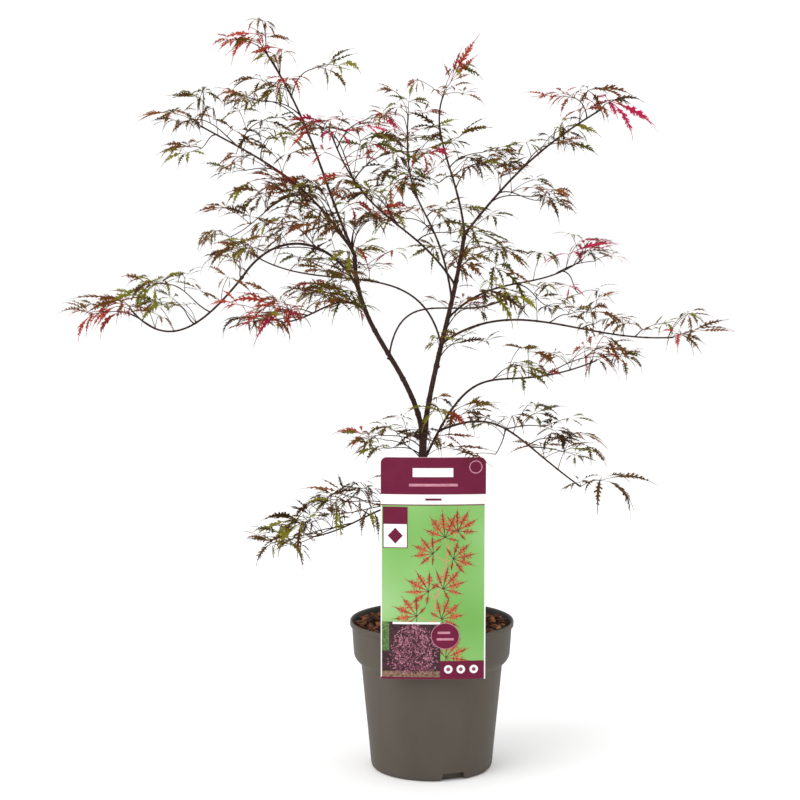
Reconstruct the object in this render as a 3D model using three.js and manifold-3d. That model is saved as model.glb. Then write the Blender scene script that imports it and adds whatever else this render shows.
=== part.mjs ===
// A young laceleaf maple in a plain nursery pot, with its printed card.
// Millimetres, +Z up. The origin is the centre of the pot's flat underside and the front is towards -Y.
import * as THREE from "three";
import { mergeVertices } from "three/addons/utils/BufferGeometryUtils.js";
import Module from "manifold-3d";

const wasm = await Module();
wasm.setup();

const GAP = 0.35;
const degrees = THREE.MathUtils.degToRad;

// ---- Pot, soil and card sizes ----------------------------------------------------------------

const POT = {
  height: 174,
  rimRadius: 95,
  lipDepth: 7,
  collarTopRadius: 92.8,
  collarFootRadius: 90.6,
  collarFootHeight: 134,
  wallTopRadius: 82.3,
  wallTopHeight: 124,
  wallFootRadius: 70.6,
  footHeight: 3,
  footRadius: 67.5,
  wall: 2,
  floor: 3,
  segments: 40,
};

const NOTCH = {
  count: 3,
  firstTurn: -70,
  width: 30,
  height: 9.5,
  innerRadius: 61,
  outerRadius: 84,
  casing: 2,
};

const SOIL = { top: 166, fit: 0.9, dome: 2.5 };

const CARD = {
  width: 117,
  thickness: 0.9,
  foot: 127,
  height: 251,
  cornerRadius: 7,
  bendRadius: 450,
  frontY: -98,
  columns: 12,
};

const HOOK = { width: 34, thickness: 1, innerY: -86, clearance: 0.8, legLength: 7.5 };

// ---- Limbs -----------------------------------------------------------------------------------
// A limb leaves its parent at a fraction of the parent's length. It lies in one upright plane, whose
// turn about Z is in degrees. Reach and rise are how far out and up its end is. Slopes are in degrees
// above level, where it leaves and at its end, and pull is how strongly they bend it.

const PULL = 0.4;

const TRUNK = {
  turn: -161,
  reach: 10,
  rise: 228,
  slopes: [90, 96],
  radii: [5.2, 4.3],
  pull: 0.3,
  flare: 3.6,
  sides: 10,
};

const STEMS = {
  stem_left: {
    from: "trunk", at: 0.97, turn: -162, reach: 82, rise: 210,
    slopes: [80, 90], radii: [3.1, 2.3],
  },
  stem_right: {
    from: "trunk", at: 1, turn: 32, reach: 55, rise: 225,
    slopes: [80, 80], radii: [3.1, 2.3],
  },
};

const BOUGHS = {
  bough_left_high: {
    from: "stem_left", at: 1, turn: 152, reach: 205, rise: 145,
    slopes: [55, 25], radii: [1.5, 1],
  },
  bough_left_top: {
    from: "stem_left", at: 1, turn: -157, reach: 105, rise: 225,
    slopes: [65, 55], radii: [1.6, 1],
  },
  bough_arch: {
    from: "stem_left", at: 0.83, turn: -161, reach: 135, rise: 20,
    slopes: [65, -55], radii: [1.5, 1.3], pull: 0.5,
  },
  bough_arch_end: {
    from: "bough_arch", at: 1, turn: -162, reach: 125, rise: -35,
    slopes: [-50, 50], radii: [1.3, 0.9], pull: 0.5,
  },
  bough_left_low: {
    from: "stem_left", at: 0.73, turn: -128, reach: 140, rise: -5,
    slopes: [30, 0], radii: [1.2, 0.85],
  },
  bough_crossing: {
    from: "stem_right", at: 0.43, turn: 146, reach: 270, rise: 95,
    slopes: [75, 25], radii: [1.2, 0.85],
  },
  bough_front: {
    from: "stem_left", at: 0.45, turn: -55, reach: 210, rise: 75,
    slopes: [75, 20], radii: [1.1, 0.85],
  },
  bough_front_top: {
    from: "stem_right", at: 0.76, turn: -127, reach: 225, rise: 170,
    slopes: [45, 60], radii: [1.3, 0.9],
  },
  bough_rear_top: {
    from: "stem_right", at: 0.68, turn: 104, reach: 205, rise: 215,
    slopes: [62, 105], radii: [1.3, 0.9], pull: 0.45,
  },
  bough_centre_top: {
    from: "stem_right", at: 1, turn: 108, reach: 75, rise: 160,
    slopes: [75, 140], radii: [1.4, 0.9],
  },
  bough_right_high: {
    from: "stem_right", at: 1, turn: -22, reach: 160, rise: 140,
    slopes: [50, 30], radii: [1.5, 1],
  },
  bough_right_mid: {
    from: "stem_right", at: 0.58, turn: 42, reach: 225, rise: 60,
    slopes: [35, 25], radii: [1.3, 0.85],
  },
  bough_right_arm: {
    from: "stem_right", at: 0.44, turn: -20, reach: 270, rise: 15,
    slopes: [35, 5], radii: [1.4, 0.85],
  },
  bough_right_low: {
    from: "trunk", at: 0.825, turn: 35, reach: 260, rise: 105,
    slopes: [60, 15], radii: [1.5, 0.9], pull: 0.6,
  },
  bough_low_right: {
    from: "bough_right_low", at: 0.1, turn: -52, reach: 240, rise: -35,
    slopes: [20, -20], radii: [1.4, 0.85], pull: 0.5,
  },
  bough_low_left: {
    from: "trunk", at: 0.5, turn: -151, reach: 145, rise: 5,
    slopes: [60, -5], radii: [1.3, 0.85], pull: 0.5,
  },
};

// ---- Foliage masses --------------------------------------------------------------------------
// A mass sits on a limb at a fraction of its length, or on its tip when no fraction is given. Shift is
// [right, back, up] from there, and size holds the half lengths across, fore and aft, and up. Tint picks
// one of the leaf colours below.

const MASSES = {
  left_top_tip: { on: "bough_left_top", shift: [-5, -5, 5], size: [46, 36, 23], tint: "red" },
  left_top_outer: { on: "bough_left_top", at: 0.75, shift: [-38, -8, 8], size: [36, 26, 20], tint: "bronze" },
  left_top_inner: { on: "bough_left_top", at: 0.85, shift: [26, 8, 13], size: [31, 24, 16], tint: "olive" },
  left_high_tip: { on: "bough_left_high", shift: [-2, 5, 0], size: [48, 36, 26], tint: "olive" },
  left_high: { on: "bough_left_high", at: 0.6, shift: [-5, -16, 5], size: [32, 22, 20], tint: "olive" },
  left_shoulder: { on: "bough_left_high", at: 0.3, shift: [-14, 14, 8], size: [46, 24, 16], tint: "bronze" },
  arch_tip: { on: "bough_arch_end", shift: [-30, 0, -6], size: [46, 36, 20], tint: "red" },
  arch_outer: { on: "bough_arch_end", at: 0.55, shift: [0, 0, 22], size: [36, 28, 18], tint: "olive" },
  arch_middle: { on: "bough_arch_end", at: 0.05, shift: [-6, 0, 24], size: [32, 28, 19], tint: "dark" },
  arch_top: { on: "bough_arch", at: 0.5, shift: [-14, 0, 19], size: [32, 28, 17], tint: "bronze" },
  left_low_tip: { on: "bough_left_low", shift: [-10, -8, 6], size: [42, 36, 26], tint: "red" },
  left_low: { on: "bough_left_low", at: 0.45, shift: [0, -5, 13], size: [25, 24, 13], tint: "bronze" },
  crossing: { on: "bough_crossing", at: 0.6, shift: [-20, 18, 20], size: [36, 30, 18], tint: "olive" },
  crossing_tip: { on: "bough_crossing", shift: [-8, 8, 6], size: [34, 34, 19], tint: "bronze" },
  front_top_tip: { on: "bough_front_top", shift: [-5, -8, 6], size: [30, 34, 25], tint: "crimson" },
  front_top: { on: "bough_front_top", at: 0.55, shift: [-10, -16, 18], size: [34, 30, 17], tint: "olive" },
  rear_top_tip: { on: "bough_rear_top", shift: [-8, 4, 6], size: [37, 38, 27], tint: "bronze" },
  rear_top: { on: "bough_rear_top", at: 0.65, shift: [0, -24, 18], size: [33, 32, 20], tint: "dark" },
  centre_top_tip: { on: "bough_centre_top", shift: [15, 0, 28], size: [22, 24, 46], tint: "red" },
  centre_top: { on: "bough_centre_top", at: 0.5, shift: [30, -18, -4], size: [34, 28, 18], tint: "olive" },
  right_high_tip: { on: "bough_right_high", shift: [20, -5, -3], size: [60, 42, 27], tint: "red" },
  right_high: { on: "bough_right_high", at: 0.55, shift: [13, 16, 16], size: [34, 26, 16], tint: "olive" },
  right_high_low: {
    on: "bough_right_high", at: 0.35, shift: [32, -6, -17], size: [46, 30, 15], tint: "dark",
  },
  right_middle_tip: { on: "bough_right_mid", shift: [12, 5, -10], size: [38, 38, 32], tint: "crimson" },
  right_middle: { on: "bough_right_mid", at: 0.6, shift: [8, 5, 20], size: [30, 28, 19], tint: "bronze" },
  right_shoulder: { on: "stem_right", at: 0.9, shift: [32, 16, 6], size: [34, 28, 18], tint: "olive" },
  right_arm_tip: { on: "bough_right_arm", shift: [14, -6, -2], size: [50, 36, 19], tint: "red" },
  right_arm: { on: "bough_right_arm", at: 0.7, shift: [8, -10, 13], size: [38, 26, 14], tint: "bronze" },
  right_arm_inner: {
    on: "bough_right_arm", at: 0.35, shift: [10, -4, 11], size: [36, 26, 12], tint: "olive",
  },
  right_low_tip: { on: "bough_right_low", shift: [12, 6, -4], size: [45, 38, 21], tint: "bronze" },
  right_low: { on: "bough_right_low", at: 0.55, shift: [20, 8, 14], size: [40, 28, 14], tint: "olive" },
  low_right_tip: { on: "bough_low_right", shift: [24, -6, 8], size: [48, 38, 19], tint: "dark" },
  low_right: { on: "bough_low_right", at: 0.55, shift: [26, -14, 6], size: [32, 28, 14], tint: "dark" },
  trunk_left: { on: "trunk", at: 0.97, shift: [-42, -5, 2], size: [38, 24, 14], tint: "olive" },
  low_left_tip: { on: "bough_low_left", shift: [-26, -5, -2], size: [47, 36, 21], tint: "dark" },
  low_left: { on: "bough_low_left", at: 0.55, shift: [-22, -8, 5], size: [31, 26, 13], tint: "dark" },
  front_tip: { on: "bough_front", shift: [5, -6, 8], size: [32, 34, 18], tint: "bronze" },
  centre: { on: "bough_left_top", at: 0.1, shift: [28, -5, 9], size: [28, 24, 19], tint: "bronze" },
};

// A mass whose half lengths across and deep multiply to more than this has finer faces.
const BROAD = 1600;
const FIRST_SEED = 4200;

const LEAF_COLOURS = { olive: 0x5c6236, dark: 0x4a4232, bronze: 0x7d5234, red: 0x96403a, crimson: 0xb03a55 };

// ---- Solids: joining and cutting -------------------------------------------------------------

function solidOf(geometry) {
  const shape = geometry.index ? geometry : geometry.clone();
  shape.deleteAttribute("normal");
  shape.deleteAttribute("uv");
  const merged = mergeVertices(shape, 1e-4);
  const vertProperties = new Float32Array(merged.attributes.position.array);
  const triVerts = new Uint32Array(merged.index.array);
  return new wasm.Manifold(new wasm.Mesh({ numProp: 3, vertProperties, triVerts }));
}

function geometryOf(solid) {
  const mesh = solid.getMesh();
  const geometry = new THREE.BufferGeometry();
  geometry.setAttribute("position", new THREE.BufferAttribute(new Float32Array(mesh.vertProperties), 3));
  geometry.setIndex(new THREE.BufferAttribute(new Uint32Array(mesh.triVerts), 1));
  geometry.computeVertexNormals();
  return geometry;
}

function largestPiece(solid) {
  const pieces = solid.decompose();
  pieces.sort((a, b) => b.volume() - a.volume());
  return pieces[0];
}

const group = new THREE.Group();

function addPart(name, solid, colour, roughness) {
  const material = new THREE.MeshStandardMaterial({ color: colour, roughness, metalness: 0 });
  const mesh = new THREE.Mesh(geometryOf(solid), material);
  mesh.name = name;
  group.add(mesh);
}

// ---- Pot -------------------------------------------------------------------------------------

function lathed(points, segments) {
  const profile = points.map(([radius, height]) => new THREE.Vector2(radius, height));
  const geometry = new THREE.LatheGeometry(profile, segments);
  geometry.rotateX(Math.PI / 2);
  return solidOf(geometry);
}

function potOutline() {
  const p = POT;
  const lipFoot = p.height - p.lipDepth;
  return [
    [0, 0],
    [p.footRadius, 0],
    [p.wallFootRadius, p.footHeight],
    [p.wallTopRadius, p.wallTopHeight],
    [p.wallTopRadius + 4.5, p.wallTopHeight + 3.5],
    [p.collarFootRadius, p.collarFootHeight],
    [p.collarTopRadius, lipFoot],
    [p.rimRadius, lipFoot + 1.2],
    [p.rimRadius, p.height - 1],
    [p.rimRadius - 1, p.height],
    [0, p.height],
  ];
}

function cavityOutline(shrink, floor, top) {
  const p = POT;
  const inset = p.wall + shrink;
  const slope = (p.collarTopRadius - p.collarFootRadius) / (p.height - p.lipDepth - p.collarFootHeight);
  return [
    [0, floor],
    [p.wallFootRadius - inset, floor],
    [p.wallTopRadius - inset, p.wallTopHeight + 1],
    [p.wallTopRadius + 4.5 - inset, p.wallTopHeight + 4.5],
    [p.collarFootRadius - inset, p.collarFootHeight + 1],
    [p.collarFootRadius - inset + slope * (top - p.collarFootHeight), top],
    [0, top],
  ];
}

function notchBlocks(extra) {
  let blocks = null;
  const depth = NOTCH.outerRadius - NOTCH.innerRadius + 2 * extra;
  const tall = 2 * (NOTCH.height + extra);
  for (let i = 0; i < NOTCH.count; i += 1) {
    const box = new THREE.BoxGeometry(depth, NOTCH.width + 2 * extra, tall);
    box.translate((NOTCH.innerRadius + NOTCH.outerRadius) / 2, 0, 0);
    box.rotateZ(degrees(NOTCH.firstTurn + (360 / NOTCH.count) * i));
    const block = solidOf(box);
    blocks = blocks ? blocks.add(block) : block;
  }
  return blocks;
}

function potSolid() {
  const cavity = lathed(cavityOutline(0, POT.floor, POT.height + 2), POT.segments);
  const hollow = cavity.subtract(notchBlocks(NOTCH.casing));
  return lathed(potOutline(), POT.segments).subtract(hollow).subtract(notchBlocks(0));
}

// The soil's top is a low dome with a flat spot in the middle for the trunk to stand on.
function soilSolid() {
  const outline = cavityOutline(SOIL.fit, POT.floor + GAP, SOIL.top - SOIL.dome);
  outline.pop();
  outline.push([62, SOIL.top - 0.8], [24, SOIL.top], [0, SOIL.top]);
  return lathed(outline, POT.segments).subtract(notchBlocks(NOTCH.casing + GAP));
}

// ---- Card ------------------------------------------------------------------------------------

function roundedOutline(width, height, radius) {
  const half = width / 2;
  const shape = new THREE.Shape();
  shape.moveTo(-half, 0);
  shape.lineTo(half, 0);
  shape.lineTo(half, height - radius);
  shape.absarc(half - radius, height - radius, radius, 0, Math.PI / 2);
  shape.lineTo(radius - half, height);
  shape.absarc(radius - half, height - radius, radius, Math.PI / 2, Math.PI);
  shape.lineTo(-half, 0);
  return shape;
}

function cardSolid() {
  const c = CARD;
  const sheet = new THREE.BoxGeometry(c.width, c.thickness, c.height, c.columns, 1, 1);
  const position = sheet.attributes.position;
  for (let i = 0; i < position.count; i += 1) {
    const x = position.getX(i);
    position.setY(i, position.getY(i) + (x * x) / (2 * c.bendRadius));
  }
  sheet.translate(0, c.frontY + c.thickness / 2, c.foot + c.height / 2);
  const outline = new THREE.ExtrudeGeometry(roundedOutline(c.width - 0.2, c.height, c.cornerRadius), {
    depth: 40,
    bevelEnabled: false,
    curveSegments: 5,
  });
  outline.rotateX(Math.PI / 2);
  outline.translate(0, c.frontY + 20, c.foot);
  return solidOf(sheet).intersect(solidOf(outline)).add(hookSolid());
}

// A tongue from the card's back passes over the pot's rim and down inside it.
function hookSolid() {
  const under = POT.height + HOOK.clearance;
  const outerY = CARD.frontY + CARD.thickness / 2;
  const span = HOOK.innerY - outerY;
  const bar = new THREE.BoxGeometry(HOOK.width, span, HOOK.thickness);
  bar.translate(0, outerY + span / 2, under + HOOK.thickness / 2);
  const leg = new THREE.BoxGeometry(HOOK.width, HOOK.thickness, HOOK.legLength);
  leg.translate(0, HOOK.innerY - HOOK.thickness / 2, under + HOOK.thickness - HOOK.legLength / 2);
  return solidOf(bar).add(solidOf(leg));
}

// ---- Limbs -----------------------------------------------------------------------------------

const limbs = new Map();

function curveOf(spec, start) {
  const turn = degrees(spec.turn);
  const out = new THREE.Vector3(Math.cos(turn), Math.sin(turn), 0);
  const up = new THREE.Vector3(0, 0, 1);
  const end = start.clone().addScaledVector(out, spec.reach).addScaledVector(up, spec.rise);
  const handle = start.distanceTo(end) * (spec.pull ?? PULL);
  const [first, last] = spec.slopes.map((slope) => {
    const angle = degrees(slope);
    return out.clone().multiplyScalar(Math.cos(angle)).addScaledVector(up, Math.sin(angle));
  });
  const leaving = start.clone().addScaledVector(first, handle);
  const arriving = end.clone().addScaledVector(last, -handle);
  return new THREE.CubicBezierCurve3(start, leaving, arriving, end);
}

// A closed cylinder is bent along the limb's curve and given the limb's radius at each place.
function limbSolid(limb, extra) {
  const { spec, curve } = limb;
  const rings = Math.max(4, Math.round(curve.getLength() / 30));
  const rod = new THREE.CylinderGeometry(1, 1, 1, spec.sides ?? 6, rings);
  const turn = degrees(spec.turn);
  const side = new THREE.Vector3(-Math.sin(turn), Math.cos(turn), 0);
  const position = rod.attributes.position;
  for (let i = 0; i < position.count; i += 1) {
    const t = position.getY(i) + 0.5;
    const radius = radiusAt(spec, t) + extra;
    const tangent = curve.getTangent(t);
    const across = new THREE.Vector3().crossVectors(side, tangent);
    const point = curve.getPoint(t);
    if (t < 0.001 || t > 0.999) {
      point.addScaledVector(tangent, t < 0.5 ? -extra : extra);
    }
    point.addScaledVector(side, position.getX(i) * radius);
    point.addScaledVector(across, position.getZ(i) * radius);
    position.setXYZ(i, point.x, point.y, point.z);
  }
  return solidOf(rod);
}

function radiusAt(spec, t) {
  const flare = (spec.flare ?? 0) * Math.max(0, 1 - t / 0.16) ** 2;
  return THREE.MathUtils.lerp(...spec.radii, t) + flare;
}

function growLimbs() {
  const foot = new THREE.Vector3(0, 0, SOIL.top + GAP);
  for (const [name, spec] of Object.entries({ trunk: TRUNK, ...STEMS, ...BOUGHS })) {
    const start = spec.from ? limbs.get(spec.from).curve.getPoint(spec.at) : foot;
    const limb = { name, spec, curve: curveOf(spec, start) };
    limb.solid = limbSolid(limb, 0);
    limb.wrapper = limbSolid(limb, GAP);
    for (const other of limbs.values()) {
      limb.solid = limb.solid.subtract(other.wrapper);
    }
    limb.solid = largestPiece(limb.solid);
    limbs.set(name, limb);
  }
}

// ---- Foliage masses --------------------------------------------------------------------------

function seededRandom(seed) {
  let state = seed * 2654435;
  return () => {
    state = (state * 16807) % 2147483647;
    return state / 2147483647;
  };
}

// A ball is pushed in and out by a few waves of its own, flattened, and drooped at its edges.
function massSolid(spec, seed, extra) {
  const random = seededRandom(seed);
  const phases = [0, 1, 2, 3].map(() => random() * 2 * Math.PI);
  const [across, deep, tall] = spec.size;
  const ball = new THREE.IcosahedronGeometry(1, across * deep > BROAD ? 2 : 1);
  const position = ball.attributes.position;
  const centre = limbs.get(spec.on).curve.getPoint(spec.at ?? 1).add(new THREE.Vector3(...spec.shift));
  for (let i = 0; i < position.count; i += 1) {
    const p = new THREE.Vector3().fromBufferAttribute(position, i);
    const turn = Math.atan2(p.y, p.x);
    const flat = Math.hypot(p.x, p.y);
    const lobes = 0.13 * Math.sin(3 * turn + phases[0]) + 0.1 * Math.sin(5 * turn + phases[1]);
    const dents = 0.12 * Math.sin(4 * p.x + phases[2]) * Math.cos(4 * p.y + phases[3]);
    const swell = 1 + flat * (lobes + dents);
    const droop = 0.22 * tall * flat * flat;
    position.setXYZ(
      i,
      centre.x + p.x * (across * swell + extra),
      centre.y + p.y * (deep * swell + extra),
      centre.z + p.z * (tall * (1 + dents) + extra) - droop,
    );
  }
  return solidOf(ball);
}

// A bough with a mass on its tip stops where it enters. A mass is cut round every other limb it meets,
// and round the masses before it.
function growMasses() {
  const masses = [];
  for (const [index, [name, spec]] of Object.entries(MASSES).entries()) {
    const seed = FIRST_SEED + index;
    const wrapper = massSolid(spec, seed, 1.5 * GAP);
    const carrier = spec.at === undefined ? limbs.get(spec.on) : null;
    if (carrier) {
      carrier.solid = largestPiece(carrier.solid.subtract(wrapper));
    }
    let solid = massSolid(spec, seed, 0);
    for (const limb of limbs.values()) {
      if (limb !== carrier) {
        solid = solid.subtract(limb.wrapper);
      }
    }
    for (const other of masses) {
      solid = solid.subtract(other.wrapper);
    }
    masses.push({ name: `leaves_${name}`, tint: spec.tint, wrapper, solid: largestPiece(solid) });
  }
  return masses;
}

// ---- Assembly --------------------------------------------------------------------------------

const BARK = 0x4a3430;

growLimbs();
const masses = growMasses();

addPart("pot", potSolid(), 0x6b645c, 0.55);
addPart("soil", soilSolid(), 0x4d3022, 0.95);
addPart("plant_card", cardSolid(), 0x7b2b45, 0.35);
for (const limb of limbs.values()) {
  addPart(limb.name, limb.solid, BARK, 0.7);
}
for (const mass of masses) {
  addPart(mass.name, mass.solid, LEAF_COLOURS[mass.tint], 0.8);
}

export default group;
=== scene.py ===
"""Looks for a potted laceleaf maple: bark, twigs and leaves on its limbs, pot, mulch and card.

Lengths are in millimetres until a mesh is made. +Z is up and the front is towards -Y.
"""

import math
import random
from collections import namedtuple

import bpy
import numpy as np
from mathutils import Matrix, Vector, noise


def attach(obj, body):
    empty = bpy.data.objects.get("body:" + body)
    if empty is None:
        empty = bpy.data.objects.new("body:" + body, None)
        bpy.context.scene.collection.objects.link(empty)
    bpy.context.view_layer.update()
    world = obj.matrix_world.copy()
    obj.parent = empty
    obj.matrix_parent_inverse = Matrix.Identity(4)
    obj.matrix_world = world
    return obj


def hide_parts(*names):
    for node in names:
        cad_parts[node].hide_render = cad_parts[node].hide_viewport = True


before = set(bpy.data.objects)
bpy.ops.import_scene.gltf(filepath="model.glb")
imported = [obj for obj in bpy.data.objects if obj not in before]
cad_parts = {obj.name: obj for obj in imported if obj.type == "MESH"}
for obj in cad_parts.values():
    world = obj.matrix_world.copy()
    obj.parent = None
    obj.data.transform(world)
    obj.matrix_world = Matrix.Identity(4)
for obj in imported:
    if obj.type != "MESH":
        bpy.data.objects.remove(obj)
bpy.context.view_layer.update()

scene = bpy.context.scene
MM = 0.001
UP = np.array([0.0, 0.0, 1.0])

# Each part of the growth has its own seeds, so a change in one leaves the others alone.
SEED = 1907
MASS_SEEDS = 2000
TWIG_SEEDS = 2500
NODE_SEEDS = 3000

# ---- The plant ----
# name: (parent, place on it, turn about Z, level reach, rise, (first slope, last slope),
#        (first radius, last radius), how far the curve's handles reach as a share of its span)
LIMBS = {
    "trunk": (None, 0, -161, 10, 228, (90, 96), (5.2, 4.3), 0.3),
    "stem_left": ("trunk", 0.97, -162, 82, 210, (80, 90), (3.1, 2.3), 0.4),
    "stem_right": ("trunk", 1, 32, 55, 225, (80, 80), (3.1, 2.3), 0.4),
    "bough_left_high": ("stem_left", 1, 152, 205, 145, (55, 25), (1.5, 1), 0.4),
    "bough_left_top": ("stem_left", 1, -157, 105, 225, (65, 55), (1.6, 1), 0.4),
    "bough_arch": ("stem_left", 0.83, -161, 135, 20, (65, -55), (1.5, 1.3), 0.5),
    "bough_arch_end": ("bough_arch", 1, -162, 125, -35, (-50, 50), (1.3, 0.9), 0.5),
    "bough_left_low": ("stem_left", 0.73, -128, 140, -5, (30, 0), (1.2, 0.85), 0.4),
    "bough_crossing": ("stem_right", 0.43, 146, 270, 95, (75, 25), (1.2, 0.85), 0.4),
    "bough_front": ("stem_left", 0.45, -55, 210, 75, (75, 20), (1.1, 0.85), 0.4),
    "bough_front_top": ("stem_right", 0.76, -127, 225, 170, (45, 60), (1.3, 0.9), 0.4),
    "bough_rear_top": ("stem_right", 0.68, 104, 205, 215, (62, 105), (1.3, 0.9), 0.45),
    "bough_centre_top": ("stem_right", 1, 108, 75, 160, (75, 140), (1.4, 0.9), 0.4),
    "bough_right_high": ("stem_right", 1, -22, 160, 140, (50, 30), (1.5, 1), 0.4),
    "bough_right_mid": ("stem_right", 0.58, 42, 225, 60, (35, 25), (1.3, 0.85), 0.4),
    "bough_right_arm": ("stem_right", 0.44, -20, 270, 15, (35, 5), (1.4, 0.85), 0.4),
    "bough_right_low": ("trunk", 0.825, 35, 260, 105, (60, 15), (1.5, 0.9), 0.6),
    "bough_low_right": ("bough_right_low", 0.1, -52, 240, -35, (20, -20), (1.4, 0.85), 0.5),
    "bough_low_left": ("trunk", 0.5, -151, 145, 5, (60, -5), (1.3, 0.85), 0.5),
}
# The trunk's foot stands a little below its CAD solid's, so that the mulch closes round it.
TRUNK_SUNK = 2.35
TRUNK_FOOT = np.array([0.0, 0.0, 164.0])

# mass: (limb, place on it or None for its tip, (right, back, up) from there, half lengths, tint,
#        side twigs, chance that a leaf at a node in it is there, leaf size)
Mass = namedtuple("Mass", "limb at shift half tint twigs kept size")
MASSES = {
    "left_top_tip": ("bough_left_top", None, (-5, -5, 5), (46, 36, 23), "red", 1, 0.85, 50),
    "left_top_outer": ("bough_left_top", 0.75, (-38, -8, 8), (36, 26, 20), "bronze", 2, 0.9, 58),
    "left_top_inner": ("bough_left_top", 0.85, (26, 8, 13), (31, 24, 16), "olive", 1, 1, 60),
    "left_high_tip": ("bough_left_high", None, (-2, 5, 0), (48, 36, 26), "olive", 1, 0.9, 66),
    "left_high": ("bough_left_high", 0.6, (-5, -16, 5), (32, 22, 20), "olive", 1, 0.8, 60),
    "left_shoulder": ("bough_left_high", 0.3, (-14, 14, 8), (46, 24, 16), "bronze", 5, 1, 68),
    "arch_tip": ("bough_arch_end", None, (-30, 0, -6), (46, 36, 20), "red", 1, 0.7, 58),
    "arch_outer": ("bough_arch_end", 0.55, (0, 0, 22), (36, 28, 18), "olive", 1, 0.8, 60),
    "arch_middle": ("bough_arch_end", 0.05, (-6, 0, 24), (32, 28, 19), "dark", 1, 0.2, 58),
    "arch_top": ("bough_arch", 0.5, (-14, 0, 19), (32, 28, 17), "bronze", 1, 0.5, 62),
    "left_low_tip": ("bough_left_low", None, (-10, -8, 6), (42, 36, 26), "red", 3, 1, 62),
    "left_low": ("bough_left_low", 0.45, (0, -5, 13), (25, 24, 13), "bronze", 4, 0.9, 62),
    "crossing": ("bough_crossing", 0.6, (-20, 18, 20), (36, 30, 18), "olive", 1, 0.8, 64),
    "crossing_tip": ("bough_crossing", None, (-8, 8, 6), (34, 34, 19), "bronze", 0, 0.8, 60),
    "front_top_tip": ("bough_front_top", None, (-5, -8, 6), (30, 34, 25), "crimson", 1, 0.8, 56),
    "front_top": ("bough_front_top", 0.55, (-10, -16, 18), (34, 30, 17), "olive", 2, 0.7, 64),
    "rear_top_tip": ("bough_rear_top", None, (-8, 4, 6), (37, 38, 27), "bronze", 1, 0.8, 54),
    "rear_top": ("bough_rear_top", 0.65, (0, -24, 18), (33, 32, 20), "dark", 2, 0.75, 62),
    "centre_top_tip": ("bough_centre_top", None, (15, 0, 28), (22, 24, 46), "red", 0, 0.7, 46),
    "centre_top": ("bough_centre_top", 0.5, (30, -18, -4), (34, 28, 18), "olive", 3, 1, 64),
    "right_high_tip": ("bough_right_high", None, (20, -5, -3), (60, 42, 27), "red", 0, 0.75, 60),
    "right_high": ("bough_right_high", 0.55, (13, 16, 16), (34, 26, 16), "olive", 1, 0.6, 56),
    "right_high_low": ("bough_right_high", 0.35, (32, -6, -17), (46, 30, 15), "dark", 2, 0.7, 58),
    "right_middle_tip": (
        "bough_right_mid", None, (12, 5, -10), (38, 38, 32), "crimson", 1, 0.8, 58
    ),
    "right_middle": ("bough_right_mid", 0.6, (8, 5, 20), (30, 28, 19), "bronze", 0, 0.3, 54),
    "right_shoulder": ("stem_right", 0.9, (32, 16, 6), (34, 28, 18), "olive", 1, 0.8, 60),
    "right_arm_tip": ("bough_right_arm", None, (14, -6, -2), (50, 36, 19), "red", 0, 0.6, 48),
    "right_arm": ("bough_right_arm", 0.7, (8, -10, 13), (38, 26, 14), "bronze", 1, 0.7, 58),
    "right_arm_inner": ("bough_right_arm", 0.35, (10, -4, 11), (36, 26, 12), "olive", 0, 0.5, 56),
    "right_low_tip": ("bough_right_low", None, (12, 6, -4), (45, 38, 21), "bronze", 1, 0.7, 56),
    "right_low": ("bough_right_low", 0.55, (20, 8, 14), (40, 28, 14), "olive", 1, 0.7, 58),
    "low_right_tip": ("bough_low_right", None, (24, -6, 8), (48, 38, 19), "dark", 0, 0.7, 56),
    "low_right": ("bough_low_right", 0.55, (26, -14, 6), (32, 28, 14), "dark", 1, 0.6, 56),
    "trunk_left": ("trunk", 0.97, (-42, -5, 2), (38, 24, 14), "olive", 2, 1, 56),
    "low_left_tip": ("bough_low_left", None, (-26, -5, -2), (47, 36, 21), "dark", 2, 0.85, 58),
    "low_left": ("bough_low_left", 0.55, (-22, -8, 5), (31, 26, 13), "dark", 3, 1, 60),
    "front_tip": ("bough_front", None, (5, -6, 8), (32, 34, 18), "bronze", 0, 0.6, 60),
    "centre": ("bough_left_top", 0.1, (28, -5, 9), (28, 24, 19), "bronze", 3, 1, 62),
}
MASSES = {key: Mass(*row) for key, row in MASSES.items()}

# Pairs of leaves on older wood: (limb, place on it, leaf size, tint)
OLD_WOOD_PAIRS = [
    ("bough_right_low", 0.05, 52, "bronze"), ("bough_low_right", 0.08, 46, "dark"),
    ("stem_right", 0.12, 30, "olive"), ("stem_right", 0.4, 36, "olive"),
    ("stem_right", 0.62, 44, "olive"), ("stem_left", 0.7, 44, "dark"),
    ("stem_left", 0.84, 50, "olive"), ("stem_left", 0.95, 50, "bronze"),
    ("stem_right", 0.8, 46, "bronze"), ("trunk", 0.9, 40, "olive"),
    ("bough_right_low", 0.02, 70, "dark"), ("bough_low_right", 0.03, 64, "bronze"),
    ("bough_low_right", 0.8, 44, "dark"), ("stem_left", 0.78, 48, "bronze"),
    ("bough_crossing", 0.52, 52, "olive"), ("bough_left_low", 0.24, 36, "olive"),
]

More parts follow.
